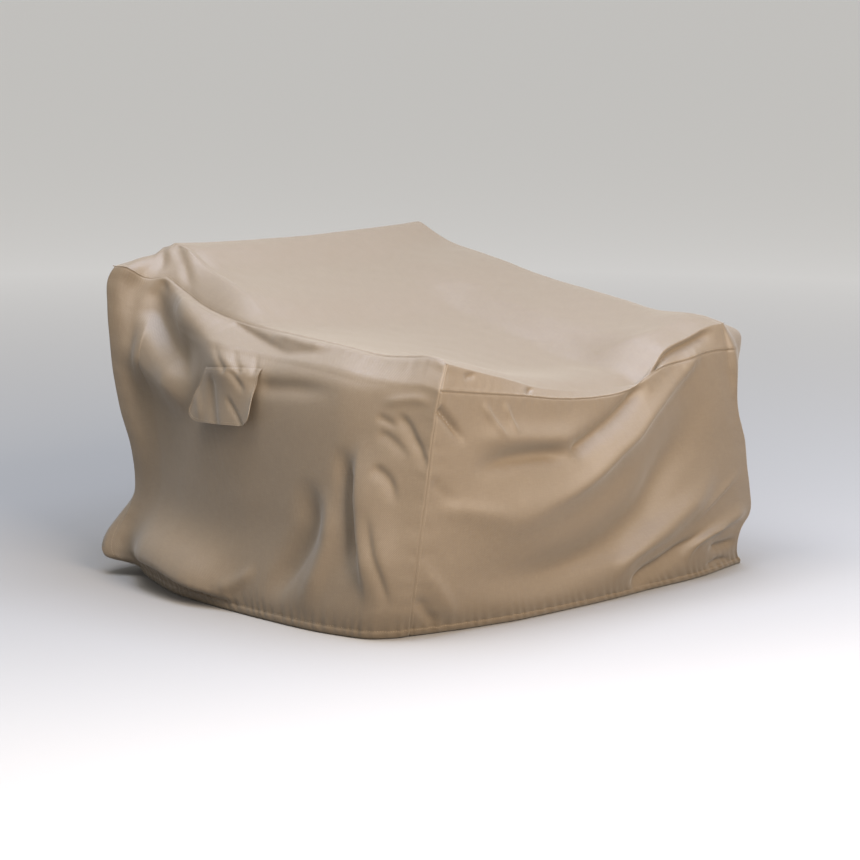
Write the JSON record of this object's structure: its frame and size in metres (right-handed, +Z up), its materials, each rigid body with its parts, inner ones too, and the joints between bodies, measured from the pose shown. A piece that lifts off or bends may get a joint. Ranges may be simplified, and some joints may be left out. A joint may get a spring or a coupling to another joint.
{
  "type": "armchair cover",
  "caption": "Fitted woven cloth cover for a low lounge armchair: hollow, with a saddle-shaped top, straight side walls, a slack folded front and a small vent flap.",
  "frame": {"origin": "under the cloth at the middle of the back ridge, where the cover bears on what it covers", "axes": "+X to the cover's right as it is worn, which is the right when its front is faced, +Y from its front to its back, +Z up"},
  "size_m": [1.2558, 1.1295, 0.7825],
  "materials": {
    "cover_cloth": "plain-woven polyester with a thin weatherproof coating, warm beige, dull with a faint sheen"
  },
  "bodies": {
    "root": {"top_panel": "cover_cloth", "front_panel": "cover_cloth", "left_side_panel": "cover_cloth", "right_side_panel": "cover_cloth", "back_panel": "cover_cloth", "vent_flap": "cover_cloth"}
  },
  "joints": []
}
